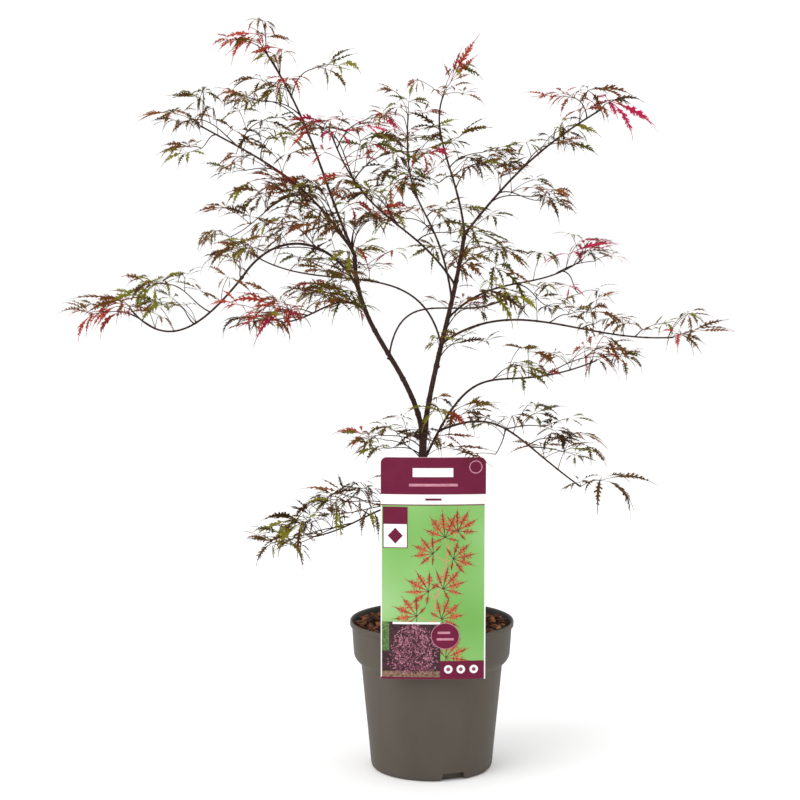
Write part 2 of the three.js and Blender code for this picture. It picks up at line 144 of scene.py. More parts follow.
# More twigs: (limb, place on it, (right, back, up) to the twig's end, mass whose leaves it bears)
MORE_TWIGS = [
    ("bough_left_high", 0.34, (-88, -24, -46), "left_shoulder"),
    ("bough_left_high", 0.78, (24, -20, 30), "left_high_tip"),
    ("bough_left_high", 0.66, (8, -12, 24), "left_high"),
    ("bough_arch", 0.3, (-78, 20, 4), "arch_top"),
    ("bough_front_top", 0.95, (30, -4, 30), "front_top_tip"),
    ("bough_front_top", 0.8, (62, 10, 30), "front_top_tip"),
    ("bough_centre_top", 0.62, (-28, -16, 4), "centre_top"),
    ("bough_centre_top", 0.35, (-16, -20, -6), "centre_top"),
    ("bough_right_mid", 0.86, (18, -26, -26), "right_middle_tip"),
    ("bough_right_mid", 0.5, (36, -30, -24), "right_middle"),
    ("bough_right_arm", 0.86, (12, 20, 6), "right_arm"),
    ("bough_right_arm", 0.5, (20, -12, 10), "right_arm"),
    ("bough_arch_end", 0.3, (-50, 12, 30), "arch_outer"),
    ("bough_low_right", 0.68, (16, -8, 8), "low_right_tip"),
    ("stem_right", 0.84, (-12, -34, 22), "right_shoulder"),
    ("stem_right", 0.34, (28, -26, 24), "right_shoulder"),
    ("stem_right", 0.5, (30, 22, 26), "right_middle"),
    ("bough_low_left", 0.6, (-30, -10, 18), "low_left"),
    ("trunk", 0.86, (-40, -24, 14), "trunk_left"),
    ("bough_crossing", 0.62, (34, -22, 16), "crossing"),
    ("bough_rear_top", 0.3, (-34, -16, 18), "crossing"),
    ("bough_rear_top", 0.42, (26, -20, 10), "crossing"),
    ("bough_front_top", 0.3, (40, -14, 10), "front_top"),
    ("bough_low_right", 0.48, (-12, -34, -24), "low_right"),
    ("bough_low_right", 0.7, (34, -22, -2), "low_right"),
    ("bough_right_high", 0.93, (-14, -8, 22), "right_high_tip"),
    ("bough_left_high", 0.92, (-16, -10, -16), "left_high_tip"),
    ("bough_left_high", 0.54, (-38, -12, 2), "left_high"),
]

# ---- Meshes ----


class Heap:
    """Triangles gathered into one mesh."""

    def __init__(self):
        self.points, self.faces, self.paints = [], [], []
        self.count = 0

    def add(self, points, faces, paint=0):
        points = np.asarray(points, float)
        faces = np.asarray(faces, int)
        self.points.append(points)
        self.faces.append(faces + self.count)
        self.paints.append(np.full(len(faces), paint))
        self.count += len(points)

    def piece(self, name, materials, slot, replaces=(), smooth=True, sharp=None):
        """Make the mesh a piece. Edges bent by more than sharp degrees stay sharp."""
        points = np.concatenate(self.points) * MM
        faces = np.concatenate(self.faces)
        mesh = bpy.data.meshes.new(name)
        mesh.vertices.add(len(points))
        mesh.vertices.foreach_set("co", points.ravel())
        mesh.loops.add(faces.size)
        mesh.loops.foreach_set("vertex_index", faces.ravel())
        mesh.polygons.add(len(faces))
        mesh.polygons.foreach_set("loop_start", np.arange(0, faces.size, 3))
        for material in materials:
            mesh.materials.append(material)
        mesh.polygons.foreach_set("material_index", np.concatenate(self.paints))
        mesh.polygons.foreach_set("use_smooth", np.full(len(faces), smooth))
        mesh.update(calc_edges=True)
        mesh.validate()
        if sharp is not None:
            mesh.set_sharp_from_angle(angle=math.radians(sharp))
        obj = bpy.data.objects.new(name, mesh)
        scene.collection.objects.link(obj)
        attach(obj, "root")
        if replaces:
            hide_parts(*replaces)
        return obj


def unit(vector):
    return vector / np.linalg.norm(vector)


def heading(turn, slope):
    """A direction from its turn about Z and its slope above level, in degrees."""
    a, b = math.radians(turn), math.radians(slope)
    return np.array([math.cos(a) * math.cos(b), math.sin(a) * math.cos(b), math.sin(b)])


def turn_of(vector):
    return math.degrees(math.atan2(vector[1], vector[0]))


def slope_of(vector):
    return math.degrees(math.asin(max(-1, min(1, vector[2] / np.linalg.norm(vector)))))


class Curve:
    """A cubic Bezier curve."""

    def __init__(self, start, leaving, arriving, end):
        self.corners = np.array([start, leaving, arriving, end], float)
        steps = self.points(np.linspace(0, 1, 33))
        self.length = np.linalg.norm(np.diff(steps, axis=0), axis=1).sum()

    def points(self, t):
        t = np.asarray(t, float)[:, None]
        a, b, c, d = self.corners
        s = 1 - t
        return s**3 * a + 3 * s * s * t * b + 3 * s * t * t * c + t**3 * d

    def tangents(self, t):
        t = np.asarray(t, float)[:, None]
        a, b, c, d = self.corners
        s = 1 - t
        slope = 3 * s * s * (b - a) + 6 * s * t * (c - b) + 3 * t * t * (d - c)
        return slope / np.linalg.norm(slope, axis=1)[:, None]

    def point(self, t):
        return self.points([t])[0]

    def tangent(self, t):
        return self.tangents([t])[0]


def bent(start, first, end, last, pull):
    """A curve that leaves start along first and reaches end along last."""
    handle = pull * np.linalg.norm(end - start)
    return Curve(start, start + first * handle, end - last * handle, end)


def tube(centres, tangents, radii, side):
    """A closed tube. radii has one row for each centre and one column for each side face."""
    rows, columns = radii.shape
    side = side - (tangents @ side)[:, None] * tangents
    side /= np.linalg.norm(side, axis=1)[:, None]
    across = np.cross(tangents, side)
    angle = np.arange(columns) * 2 * math.pi / columns
    ring = (
        side[:, None, :] * np.cos(angle)[None, :, None]
        + across[:, None, :] * np.sin(angle)[None, :, None]
    )
    points = (centres[:, None, :] + ring * radii[:, :, None]).reshape(-1, 3)
    foot = centres[0] - tangents[0] * radii[0].mean() * 0.5
    tip = centres[-1] + tangents[-1] * radii[-1].mean() * 0.8
    points = np.vstack([points, foot, tip])
    faces = []
    for j in range(columns):
        k = (j + 1) % columns
        low = np.arange(rows - 1) * columns
        faces.append(np.stack([low + j, low + k, low + columns + k], 1))
        faces.append(np.stack([low + j, low + columns + k, low + columns + j], 1))
        faces.append([[rows * columns, k, j]])
        top = (rows - 1) * columns
        faces.append([[rows * columns + 1, top + j, top + k]])
    return points, np.concatenate(faces)


# ---- Materials ----


def put(node, name, value):
    node.inputs[name].default_value = value


def shade(name, colour, roughness, gloss=0.5):
    """A material with one plain base colour."""
    material = bpy.data.materials.new(name)
    material.use_nodes = True
    shader = material.node_tree.nodes["Principled BSDF"]
    put(shader, "Base Color", (*colour, 1))
    put(shader, "Roughness", roughness)
    put(shader, "Specular IOR Level", gloss)
    return material


BUMP_DEPTH = 0.0006


def mottled(
    name, stops, scale, roughness, gloss=0.5, bump=0.0, stretch=(1, 1, 1), detail=6, bump_scale=None
):
    """A material whose base colour runs through stops as noise of that scale does."""
    material = shade(name, stops[0][1], roughness, gloss)
    tree = material.node_tree
    new, link = tree.nodes.new, tree.links.new
    shader = tree.nodes["Principled BSDF"]
    place_in = new("ShaderNodeTexCoord")
    mapping = new("ShaderNodeMapping")
    put(mapping, "Scale", stretch)
    link(place_in.outputs["Object"], mapping.inputs["Vector"])
    cloud = new("ShaderNodeTexNoise")
    put(cloud, "Scale", scale)
    put(cloud, "Detail", detail)
    link(mapping.outputs["Vector"], cloud.inputs["Vector"])
    ramp = new("ShaderNodeValToRGB")
    elements = ramp.color_ramp.elements
    while len(elements) < len(stops):
        elements.new(0.5)
    for element, (position, colour) in zip(elements, stops):
        element.position = position
        element.color = (*colour, 1)
    link(cloud.outputs["Fac"], ramp.inputs["Fac"])
    link(ramp.outputs["Color"], shader.inputs["Base Color"])
    if bump:
        fine = new("ShaderNodeTexNoise")
        put(fine, "Scale", bump_scale or scale * 3)
        put(fine, "Detail", detail)
        link(mapping.outputs["Vector"], fine.inputs["Vector"])
        relief = new("ShaderNodeBump")
        put(relief, "Strength", bump)
        put(relief, "Distance", BUMP_DEPTH)
        link(fine.outputs["Fac"], relief.inputs["Height"])
        link(relief.outputs["Normal"], shader.inputs["Normal"])
    return material


BROWNS = [
    (0.3, (0.014, 0.007, 0.0055)),
    (0.52, (0.036, 0.0165, 0.013)),
    (0.72, (0.085, 0.042, 0.031)),
]
BARK = mottled("bark_look", BROWNS, 900, 0.7, 0.12, bump=0.35, stretch=(1, 1, 0.35))
TWIG = mottled(
    "twig_look", [(0.35, (0.014, 0.006, 0.004)), (0.65, (0.05, 0.02, 0.012))], 300, 0.7, 0.12
)
PETIOLE = mottled(
    "petiole_look", [(0.35, (0.035, 0.014, 0.008)), (0.65, (0.12, 0.034, 0.02))], 120, 0.7, 0.12
)
CUT_WOOD = mottled("cut_wood_look", [(0.35, (0.3, 0.2, 0.12)), (0.65, (0.45, 0.32, 0.2))], 700, 0.7)
LEAF_ROUGHNESS, LEAF_GLOSS = 0.8, 0.06

# tint: its shades, each a plain base colour
SHADES = {
    "olive": [(0.105, 0.06, 0.005), (0.16, 0.145, 0.012), (0.07, 0.06, 0.006)],
    "dark": [(0.045, 0.022, 0.007), (0.08, 0.04, 0.011)],
    "bronze": [(0.19, 0.062, 0.014), (0.12, 0.042, 0.009)],
    "red": [(0.3, 0.036, 0.02), (0.19, 0.026, 0.015)],
    "crimson": [(0.45, 0.018, 0.075), (0.3, 0.015, 0.045)],
}

# tint of a mass: how often its leaves take each tint
MIXES = {
    "olive": {"olive": 7, "dark": 4, "bronze": 2, "red": 0.5},
    "dark": {"dark": 6, "olive": 4, "bronze": 1.5, "red": 0.3},
    "bronze": {"bronze": 5, "olive": 5, "dark": 3, "red": 1.2},
    "red": {"red": 4.5, "bronze": 3.5, "dark": 1.8, "olive": 2, "crimson": 0.8},
    "crimson": {"crimson": 2, "red": 2, "bronze": 2, "dark": 2.5, "olive": 2.5},
}

# ---- Bark ----

# Gaps between a limb's nodes: the one at the tip, how each grows on the last, the widest.
TIP_GAP, GAP_GROWTH, WIDEST_GAP = 24.0, 1.12, 40
# (limbs thicker than this radius, side faces round them, length of a row of faces)
BARK_MESH = [(4, 28, 1.1), (2.2, 20, 1.3), (0, 12, 1.6)]
FLARE, FLARE_SHARE = 3.6, 0.16
COLLAR, NODE_SWELL, NODE_SPREAD = 0.5, 0.2, 1.5
RIDGES, FINER_RIDGES = 0.075, 0.04
PORED_RADIUS = 2.2

rng = random.Random(SEED)
limbs = {}


class Limb:
    """A trunk, stem or bough: its curve, its radii and its nodes."""

    def __init__(self, name):
        parent, at, turn, reach, rise, slopes, radii, pull = LIMBS[name]
        self.name = name
        self.radii = radii
        self.turn = turn
        start = limbs[parent].curve.point(at) if parent else TRUNK_FOOT
        out = heading(turn, 0)
        lift = TRUNK_SUNK if parent is None else 0
        end = start + out * reach + UP * (rise + lift)
        self.curve = bent(start, heading(turn, slopes[0]), end, heading(turn, slopes[1]), pull)
        self.side = heading(turn + 90, 0)
        self.nodes = self.place_nodes()

    def place_nodes(self):
        """Where the nodes sit, as shares of the length, closer together towards the tip."""
        found = []
        along = self.curve.length - rng.uniform(2, 5)
        gap = TIP_GAP
        while along > 12:
            found.append(along / self.curve.length)
            along -= gap * rng.uniform(0.85, 1.15)
            gap = min(WIDEST_GAP, gap * GAP_GROWTH)
        return found


for limb_name in LIMBS:
    limbs[limb_name] = Limb(limb_name)


def relief(points, size):
    """Noise for rough bark, with grains of that size that are long up the limb."""
    return np.array([noise.noise((x / size, y / size, z / (size * 2.6))) for x, y, z in points])


def bark_tube(limb):
    """A limb with a flared foot, swellings at its nodes, ridged bark and small raised pores."""
    radius = max(limb.radii)
    columns, step = next(mesh for thicker_than, *mesh in BARK_MESH if radius > thicker_than)
    rows = int(limb.curve.length / step)
    t = np.linspace(0, 1, rows)
    along = t * limb.curve.length
    base = limb.radii[0] + (limb.radii[1] - limb.radii[0]) * t
    angle = np.arange(columns) * 2 * math.pi / columns
    wide = np.repeat(base[:, None], columns, 1)

    def swell(height, middle, spread):
        return (1 + height * np.exp(-(((along - middle) / spread) ** 2)))[:, None]

    if limb.name == "trunk":
        rise = np.clip(1 - t / FLARE_SHARE, 0, 1) ** 2
        wide += (FLARE * rise)[:, None] * (1 + 0.3 * np.cos(4 * angle + 0.7)[None, :])
    else:
        wide *= swell(COLLAR, base * 1.2, 2.2 * base)
    for node in limb.nodes:
        wide *= swell(NODE_SWELL, node * limb.curve.length, NODE_SPREAD)
    tangents = limb.curve.tangents(t)
    middle = limb.curve.points(t)
    smooth = tube(middle, tangents, wide, limb.side)[0][:-2]
    rough = relief(smooth, 2.1).reshape(rows, columns)
    finer = relief(smooth, 0.9).reshape(rows, columns)
    wide = wide * (1 + RIDGES * rough + FINER_RIDGES * finer)
    if radius > PORED_RADIUS:
        for _ in range(int(limb.curve.length / 4)):
            row, column = rng.randrange(3, rows - 3), rng.randrange(columns)
            wide[row, column] += 0.35
            wide[row, (column + 1) % columns] += 0.3
    return tube(middle, tangents, wide, limb.side)


bark = Heap()
for limb in limbs.values():
    bark.add(*bark_tube(limb))

# What pruning left of side shoots: (limb, place on it, turn, slope, radius, length)
STUBS = [
    ("trunk", 0.955, 172, 28, 2.6, 12),
    ("stem_left", 0.42, 178, 25, 1.7, 6),
    ("stem_right", 0.3, -10, 35, 1.5, 5.5),
    ("trunk", 0.62, -40, 30, 1.9, 7.5),
]


def stub(limb_name, at, turn, slope, radius, length):
    """The tube of a pruned side shoot. Its flat cut end takes the second material."""
    rows, columns = 9, 14
    way = heading(turn, slope)
    t = np.linspace(0, 1, rows)
    middle = limbs[limb_name].curve.point(at) + way * (t * length)[:, None]
    radii = radius * (1 + 0.5 * (1 - t) ** 3)
    wide = np.repeat(radii[:, None], columns, 1)
    points, faces = tube(middle, np.repeat(way[None], rows, 0), wide, UP + 0.1)
    points[-1] -= way * radius * 0.75
    bark.add(points, faces)
    bark.paints[-1] = np.where((faces == len(points) - 1).any(1), 1, 0)


for row in STUBS:
    stub(*row)

# ---- Leaves ----
# A lobe's flat outline runs from its foot at (0, 0) to its tip at (1, 0).

OUTLINE_COUNT = 24
CORE_HALF, CORE_SWELL, CORE_TIP = 0.0065, 0.019, 0.002
TOOTH_LENGTH, TOOTH_WIDTH = 0.15, 0.027
LAST_TOOTH = 0.76
LOBE_STEPS = 14


def tooth(points, faces, foot, side, length, angle, width):
    """One forward-pointing tooth of a lobe, with a smaller one on its outer edge."""
    along = np.array([math.cos(angle), side * math.sin(angle)])
    across = np.array([-math.sin(angle), side * math.cos(angle)])
    base = np.array([foot, side * 0.004])
    first = len(points)
    ahead = np.array([width * 0.9, 0])
    points += [
        base - ahead,
        base + along * length * 0.42 + across * width * 0.75,
        base + along * length,
        base + along * length * 0.5 - across * width * 0.6,
        base + ahead,
        base + along * length * 0.72 + across * width * 1.15,
        base + along * length * 0.68 + across * width * 0.2,
    ]
    for a, b, c in [(0, 1, 4), (1, 3, 4), (1, 6, 3), (6, 2, 3), (1, 5, 6)]:
        if side > 0:
            b, c = c, b
        faces.append((first + a, first + b, first + c))


def lobe_outline():
    """The points and faces of one lobe: a slender core with a row of teeth on either side."""
    stations = np.linspace(0, 1, 13)
    middle = np.clip(np.sin(math.pi * np.clip((stations - 0.16) / 0.66, 0, 1)), 0, 1)
    half = CORE_HALF + CORE_SWELL * middle
    half[-1] = CORE_TIP
    points = []
    for u, r in zip(stations, half):
        points += [np.array([u, -r]), np.array([u, 0.0]), np.array([u, r])]
    faces = []
    for i in range(len(stations) - 1):
        a = 3 * i
        for b in (a, a + 1):
            faces += [(b, b + 3, b + 4), (b, b + 4, b + 1)]
    count = rng.choice([6, 7, 7, 8])
    start = rng.uniform(0.27, 0.38)
    for side in (-1, 1):
        for j in range(count):
            share = j / (count - 1)
            foot = start + (LAST_TOOTH - start) * share + rng.uniform(-0.02, 0.02)
            swell = math.sin(math.pi * (0.22 + 0.7 * share)) ** 0.8
            length = TOOTH_LENGTH * swell * rng.uniform(0.6, 1.2)
            angle = math.radians(39 - 17 * share + rng.uniform(-6, 6))
            tooth(points, faces, foot, side, length, angle, TOOTH_WIDTH * (1.15 - 0.6 * share))
    return np.array(points), np.array(faces)


OUTLINES = [lobe_outline() for _ in range(OUTLINE_COUNT)]


def lobe(heap, foot, way, length, width, droop, sweep, roll, fold):
    """A lobe leaves foot along way, then bends down by droop and sideways by sweep, in degrees."""
    outline, faces = OUTLINES[rng.randrange(len(OUTLINES))]
    s = np.linspace(0, 1, LOBE_STEPS + 1)
    turn = np.radians(turn_of(way) + sweep * s)
    slope = np.radians(np.clip(slope_of(way) - droop * s**1.15, -84, 84))
    run = np.stack([np.cos(turn) * np.cos(slope), np.sin(turn) * np.cos(slope), np.sin(slope)], 1)
    line = np.vstack([[0, 0, 0], np.cumsum((run[1:] + run[:-1]) / 2, 0) / LOBE_STEPS]) * length
    level = np.stack([-np.sin(turn), np.cos(turn), np.zeros_like(turn)], 1)
    normal = np.cross(run, level)
    a = math.radians(roll)
    across = level * math.cos(a) + normal * math.sin(a)
    over = normal * math.cos(a) - level * math.sin(a)
    u, v = outline[:, 0], outline[:, 1] * length * width
    along, aside, above = (
        np.stack([np.interp(u, s, part[:, k]) for k in range(3)], 1)
        for part in (line, across, over)
    )
    lift = np.abs(v) * math.tan(math.radians(fold))
    heap.add(foot + along + aside * v[:, None] + above * lift[:, None], faces)


# (turn from the leaf's middle line, length as a share of the longest) of each lobe
LOBE_TURNS = [(0, 1.0), (32, 0.95), (-33, 0.94), (68, 0.8), (-70, 0.8), (118, 0.55), (-120, 0.52)]


def leaf(heap, accent, foot, turn, pitch, tilt, size, droop):
    """A cut leaf. Its lobes fan out from foot in a plane sloped by pitch and tilted sideways.

    Now and then a lobe is missing, or goes to the heap of the accent shade.
    """
    ahead = heading(turn, pitch)
    beside = heading(turn + 90, tilt)
    for spread, share in LOBE_TURNS:
        if rng.random() < (0.3 if share < 0.6 else 0.08):
            continue
        a = math.radians(spread + rng.uniform(-9, 9))
        way = unit(ahead * math.cos(a) + beside * math.sin(a))
        length = size * share * rng.uniform(0.82, 1.12)
        chosen = accent if rng.random() < 0.16 else heap
        way = unit(way + UP * rng.uniform(0.05, 0.6))
        width = rng.uniform(0.75, 1.25)
        fall = droop * rng.uniform(0.5, 1.4) * (1 + 0.003 * abs(spread))
        sweep = spread * 0.08 + rng.uniform(-22, 22)
        roll, fold = rng.gauss(0, 36), rng.uniform(-10, 25)
        lobe(chosen, foot, way, length, width, fall, sweep, roll, fold)


# ---- Sprays ----

# How far a leaf may pass its mass's outline, and the smallest share it is cut down to by that.
OVERHANG = 16
LEAST_SHARE = 0.6
LEAF_SCALE = 1.14
PETIOLE_RADII = [0.5, 0.36, 0.34, 0.45]
TWIG_RADII = [0.85, 0.65, 0.55, 0.5]


def thin_tube(curve, radii, rows, columns):
    t = np.linspace(0, 1, rows)
    wide = np.repeat(np.interp(t, np.linspace(0, 1, len(radii)), radii)[:, None], columns, 1)
    tangents = curve.tangents(t)
    side = unit(np.cross(curve.tangent(0.5), [0.3, 0.2, 0.93]))
    return tube(curve.points(t), tangents, wide, side)


twigs = Heap()
petioles = Heap()
leaves = {(tint, i): Heap() for tint, shades in SHADES.items() for i in range(len(shades))}
centres = {}
for key, mass in MASSES.items():
    at = 1 if mass.at is None else mass.at
    centres[key] = limbs[mass.limb].curve.point(at) + np.array(mass.shift, float)


def pick_tint(tint):
    """The heap that a leaf in a mass of that tint goes to."""
    mix = MIXES[tint]
    chosen = rng.choices(list(mix), list(mix.values()))[0]
    return leaves[chosen, rng.randrange(len(SHADES[chosen]))]


def room(key, foot, turn):
    """How far a lobe can run from foot, level along turn, before it leaves its mass's outline."""
    if key is None:
        return math.inf
    half = np.array(MASSES[key].half) + OVERHANG
    start = (foot - centres[key]) / half
    way = heading(turn, 0) / half
    a, b, c = way @ way, start @ way, start @ start - 1
    inner = b * b - a * c
    return max(0, (math.sqrt(inner) - b) / a) if inner > 0 else 0


def stalked_leaf(key, tint, node, turn, slope, length, size, droop, outward):
    """A petiole leaves node, rises and levels off. Its leaf faces away from the stem."""
    slope = max(-40, min(85, slope))
    start_way = heading(turn, slope)
    end_way = heading(turn, max(-20, slope - rng.uniform(15, 50)))
    end = node + (start_way + end_way * 0.8) * length * 0.56
    curve = bent(node, start_way, end, end_way, 0.35)
    petioles.add(*thin_tube(curve, PETIOLE_RADII, 7, 5))
    face = turn + outward * 0.5 + rng.uniform(-25, 25)
    size *= LEAF_SCALE
    pitch, tilt = rng.gauss(-6, 16), rng.gauss(0, 18)
    size = max(LEAST_SHARE * size, min(size, room(key, end, face)))
    leaf(pick_tint(tint), pick_tint(tint), end, face, pitch, tilt, size, droop)


def pair(key, tint, node, tangent, size, droop, spread, slope, stalk, kept=0.85):
    """Two leaves face each other across a node. Now and then one of them is gone."""
    along = turn_of(tangent)
    twist = rng.uniform(-22, 22)
    for side in (-1, 1):
        if rng.random() > kept:
            continue
        turn = along + twist + side * spread * rng.uniform(0.6, 1.3)
        rise, length = slope * rng.uniform(0.5, 1.4), stalk * rng.uniform(0.7, 1.25)
        grown, fall = size * rng.uniform(0.78, 1.1), droop * rng.uniform(0.5, 1.4)
        stalked_leaf(key, tint, node, turn, rise, length, grown, fall, -side * spread * 0.5)


def tuft(key, tint, node, tangent, size, kept=0.9):
    """The young leaves at a tip: a pair, and one that stands ahead of it."""
    pair(key, tint, node, tangent, size, droop=64, spread=46, slope=26, stalk=25, kept=kept)
    if rng.random() < 0.7 * kept:
        turn, slope = turn_of(tangent) + rng.uniform(-25, 25), slope_of(tangent) + 12
        stalked_leaf(key, tint, node, turn, slope, length=16, size=size * 0.9, droop=52, outward=0)


def side_twig(limb, at, target, key):
    """A twig runs from a node of the limb to target, with a pair of leaves at each of its nodes."""
    tint, size = MASSES[key].tint, MASSES[key].size
    start = limb.curve.point(at)
    span = target - start
    first = unit(unit(span) + limb.curve.tangent(at) * 0.5 + UP * 0.35)
    last = unit(unit(span * [1, 1, 0.3]) - UP * rng.uniform(0, 0.3))
    curve = bent(start, first, target, last, 0.38)
    twigs.add(*thin_tube(curve, TWIG_RADII, max(6, int(curve.length / 4)), 7))
    step = rng.uniform(24, 32)
    along = curve.length - step
    while along > 12:
        t = along / curve.length
        node, tangent = curve.point(t), curve.tangent(t)
        grown = size * rng.uniform(0.9, 1.15)
        pair(key, tint, node, tangent, grown, droop=60, spread=70, slope=52, stalk=32)
        along -= step
    tuft(key, tint, target, last, size * rng.uniform(0.85, 1.1))


def near_mass(point, key, margin=14):
    half = np.array(MASSES[key].half) + margin
    return (((point - centres[key]) / half) ** 2).sum() < 1


# A mass on a tip holds the tuft that ends its bough. Any mass may hold twigs from its limb.
for order, (key, mass) in enumerate(MASSES.items()):
    rng.seed(MASS_SEEDS + order)
    limb = limbs[mass.limb]
    if mass.at is None:
        tip, tangent = limb.curve.point(1), limb.curve.tangent(1)
        tuft(key, mass.tint, tip, tangent, mass.size, mass.kept)
    for i in range(mass.twigs):
        stray = 0.55 if mass.twigs > 2 else 0.35
        target = centres[key] + np.array([rng.uniform(-stray, stray) * h for h in mass.half])
        if mass.at is None:
            begin = 0.8 - 0.06 * i
        else:
            begin = max(0.02, mass.at - (16 + 14 * i) / limb.curve.length)
        side_twig(limb, begin, target, key)

for order, (limb_name, at, shift, key) in enumerate(MORE_TWIGS):
    rng.seed(TWIG_SEEDS + order)
    limb = limbs[limb_name]
    side_twig(limb, at, limb.curve.point(at) + np.array(shift, float), key)

# Pairs of leaves stand on the nodes of a bough, most of them where it runs through a mass.
for order, limb in enumerate(limbs.values()):
    rng.seed(NODE_SEEDS + order)
    if limb.name == "trunk":
        continue
    for node in limb.nodes:
        where = limb.curve.point(node)
        near = [key for key in MASSES if near_mass(where, key)]
        if not near and (node < 0.3 or rng.random() < 0.7):
            continue
        if near:
            key, mass = near[0], MASSES[near[0]]
            tint, kept, size = mass.tint, mass.kept, mass.size
        else:
            key, tint, kept, size = None, rng.choice(["olive", "dark", "bronze"]), 0.7, 60
        size *= rng.uniform(0.95, 1.2)
        tangent = limb.curve.tangent(node)
        pair(key, tint, where, tangent, size, droop=60, spread=74, slope=60, stalk=36, kept=kept)

for limb_name, at, size, tint in OLD_WOOD_PAIRS:
    limb = limbs[limb_name]
    node, ahead = limb.curve.point(at), heading(limb.turn, 0)
    pair(None, tint, node, ahead, size, droop=46, spread=70, slope=55, stalk=size * 0.45)

# One leaf stands straight up from the tip of bough_centre_top, its lobes close together.
UPRIGHT_SIZE = 66
UPRIGHT_LOBES = [(0, 1.0), (14, 0.72), (-13, 0.66), (38, 0.42), (-44, 0.4)]
tip = limbs["bough_centre_top"].curve.point(1)
rise = bent(tip, heading(20, 80), tip + np.array([9.0, 2.0, 16.0]), heading(5, 62), 0.35)
petioles.add(*thin_tube(rise, PETIOLE_RADII, 7, 5))
for spread, share in UPRIGHT_LOBES:
    heap, way = leaves["red", 1 if share < 0.7 else 0], heading(6, 64 - spread)
    sweep = rng.uniform(-20, 20)
    lobe(heap, rise.point(1), way, UPRIGHT_SIZE * share, 0.9, 12, sweep, roll=60, fold=15)

bark.piece("bark_limbs", [BARK, CUT_WOOD], "bark", list(LIMBS))
twigs.piece("twigs", [TWIG], "bark")
petioles.piece("petioles", [PETIOLE], "bark")
for (tint, i), heap in leaves.items():
    if heap.count:
        look = shade(f"leaf_{tint}_{i}", SHADES[tint][i], LEAF_ROUGHNESS, LEAF_GLOSS)
        nodes = [f"leaves_{key}" for key, mass in MASSES.items() if mass.tint == tint]
        heap.piece(f"leaves_{tint}_{i}", [look], f"leaf_{tint}", nodes)

# ---- Pot ----


def lathe(profile, segments):
    """A closed surface of revolution from (radius, height) points, its ends on the axis."""
    middle = profile[1:-1]
    count = len(middle)
    angle = np.arange(segments) * 2 * math.pi / segments
    points = [(r * math.cos(a), r * math.sin(a), z) for r, z in middle for a in angle]
    points += [(0, 0, profile[0][1]), (0, 0, profile[-1][1])]
    faces = []
    for j in range(segments):
        k = (j + 1) % segments
        end, last = count * segments, (count - 1) * segments
        faces += [(end, k, j), (end + 1, last + j, last + k)]
        for i in range(count - 1):
            a, b = i * segments, (i + 1) * segments
            faces += [(a + j, a + k, b + k), (a + j, b + k, b + j)]
    return np.array(points), np.array(faces)


# (radius, height) points up the outside of the pot and over its lip, then down the inside
POT_OUTSIDE = [
    (0, 0), (60, 0), (66.6, 0), (68.2, 0.5), (69.9, 2.2), (70.8, 5), (74.2, 42), (78.4, 84),
    (81.8, 120), (82.4, 123.2), (84, 125.2), (86.6, 127), (88.6, 129.4), (90, 132.2), (90.7, 135),
    (91.7, 150), (92.7, 165.5), (93, 166.9), (94.4, 167.4), (95, 168.2), (95.1, 170.5),
    (95, 172.9), (94.5, 173.7), (93.9, 174), (93.2, 173.6),
]
POT_INSIDE = [
    (92.6, 172.4), (91.2, 169), (90.7, 165), (88.7, 135), (84.6, 129.5), (80.3, 124.5), (72.2, 41),
    (70, 14), (67, 12), (0, 12),
]
TAUPES = [(0.3, (0.068, 0.056, 0.044)), (0.7, (0.086, 0.072, 0.057))]
POT_LOOK = mottled(
    "pot_look", TAUPES, 14, 0.55, 0.2, bump=0.12, stretch=(1, 1, 0.4), bump_scale=900
)
# The pot's inside wall gets a darker colour than its outside: painted shade standing in for the
# shadow within the walls.
POT_INSIDE_PAINTED_SHADE = mottled(
    "pot_inside_painted_shade", [(0.3, (0.02, 0.016, 0.013)), (0.7, (0.035, 0.028, 0.023))], 30, 0.6, 0.25
)
POT_SHARP = 40
# Inward faces within this radius and above this height are the shaded inside: they take the darker
# second look, painted shade.
LIP_INSIDE, FLOOR_BELOW = 92.7, 11
pot = Heap()
points, faces = lathe(POT_OUTSIDE + POT_INSIDE, 144)
pot.add(points, faces)
reach_of = np.hypot(points[:, 0], points[:, 1])[faces].max(1)
height_of = points[:, 2][faces].min(1)
a, b, c = (points[faces[:, k]] for k in range(3))
inward = (np.cross(b - a, c - a) * (a + b + c))[:, :2].sum(1) < 0
painted_shade_inside = inward & (reach_of < LIP_INSIDE) & (height_of > FLOOR_BELOW)
pot.paints[-1] = np.where(painted_shade_inside, 1, 0)
pot_looks = [POT_LOOK, POT_INSIDE_PAINTED_SHADE]
pot_piece = pot.piece("nursery_pot", pot_looks, "pot_plastic", ["pot"], sharp=POT_SHARP)

NOTCHES, FIRST_NOTCH = 3, -70
NOTCH_REACH, NOTCH_TOP = (61, 84), 9.5
NOTCH_HALF, NOTCH_HALF_BELOW = 12.4, 16.4


def cutter(turn):
    """The corners and faces of a block, narrower above, that a drainage notch is cut with."""
    corners = []
    for x in NOTCH_REACH:
        for side in (-1, 1):
            corners += [(x, side * NOTCH_HALF_BELOW, -5), (x, side * NOTCH_HALF, NOTCH_TOP)]
    faces = [
        (0, 1, 3), (0, 3, 2), (4, 6, 7), (4, 7, 5), (0, 4, 5), (0, 5, 1),
        (2, 3, 7), (2, 7, 6), (0, 2, 6), (0, 6, 4), (1, 5, 7), (1, 7, 3),
    ]
    a = math.radians(turn)
    c, s = math.cos(a), math.sin(a)
    return [(x * c - y * s, x * s + y * c, z) for x, y, z in corners], faces


